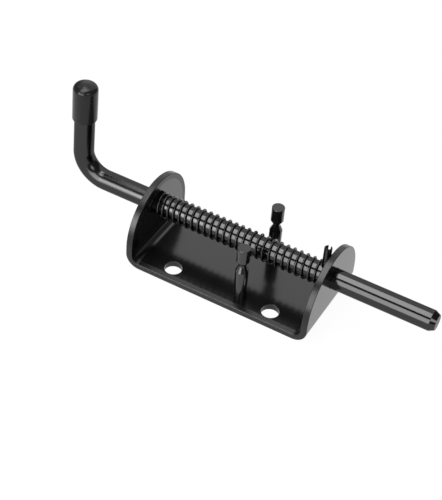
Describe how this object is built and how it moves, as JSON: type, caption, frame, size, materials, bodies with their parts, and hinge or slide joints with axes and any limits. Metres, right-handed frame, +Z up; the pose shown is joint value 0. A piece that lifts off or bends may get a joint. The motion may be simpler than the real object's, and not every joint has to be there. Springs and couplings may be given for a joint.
{
  "type": "spring loaded gate latch",
  "caption": "Bent plate bracket with a round bolt that a coil spring pushes out; its capped handle pulls back and turns to hook a cross pin on grooved posts and stay open.",
  "frame": {"origin": "middle of the bracket's underside, midway between the two flanges and between the long edges of the base", "axes": "+X along the bolt towards its nose, +Y across the bracket, +Z up from the base"},
  "size_m": [0.2443, 0.0624, 0.0946],
  "materials": {
    "black_paint": "smooth glossy black coating on steel",
    "bolt_black": "smooth glossy black coating on a steel bar, with clear reflections",
    "spring_black": "glossy black coated spring wire",
    "cap_vinyl": "smooth black vinyl with a soft sheen"
  },
  "bodies": {
    "bracket": {"bracket": "black_paint", "catch_post_front": "black_paint", "catch_post_back": "black_paint"},
    "spring": {"spring": "spring_black"},
    "bolt": {"bolt_rod": "bolt_black", "roll_pin": "bolt_black", "handle_cap": "cap_vinyl"}
  },
  "joints": [
    {"name": "bolt_turn", "type": "hinge", "parent": "bracket", "child": "spring", "pos_m": [0, 0, 0.0278], "axis": [1, 0, 0], "range_deg": [-90, 90]},
    {"name": "bolt_pull", "type": "slide", "parent": "spring", "child": "bolt", "axis": [-1, 0, 0], "range_m": [0, 0.052], "stiffness_N_per_m": 510, "springref_m": -0.016, "deforming": ["spring"]}
  ]
}
